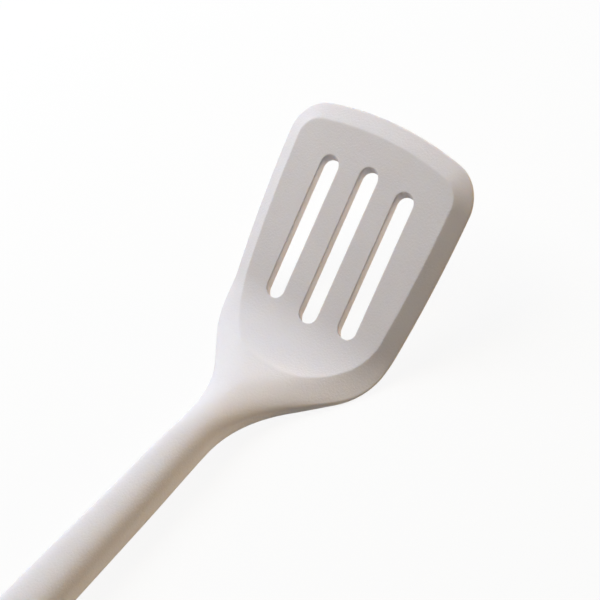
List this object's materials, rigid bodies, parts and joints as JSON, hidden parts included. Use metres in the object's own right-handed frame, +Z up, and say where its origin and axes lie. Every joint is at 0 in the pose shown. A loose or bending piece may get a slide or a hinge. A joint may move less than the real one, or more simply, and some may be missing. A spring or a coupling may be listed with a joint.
{
  "type": "slotted turner",
  "caption": "One-piece silicone slotted turner: a bevelled blade with long slots, a scooped heel and an oval handle, moulded over a steel core.",
  "frame": {"origin": "middle of the box that holds the turner, on the table that it lies on", "axes": "+X along the handle towards the blade's tip, +Y to the left, +Z up; it lies on its heel and the end of its handle with the tip raised"},
  "size_m": [0.3316, 0.0892, 0.051],
  "materials": {
    "silicone": "satin matte moulded silicone",
    "steel_sheet": "rolled sheet",
    "steel_rod": "drawn rod"
  },
  "bodies": {
    "root": {"silicone_skin": "silicone", "blade_insert": "steel_sheet", "handle_rod": "steel_rod"}
  },
  "joints": []
}
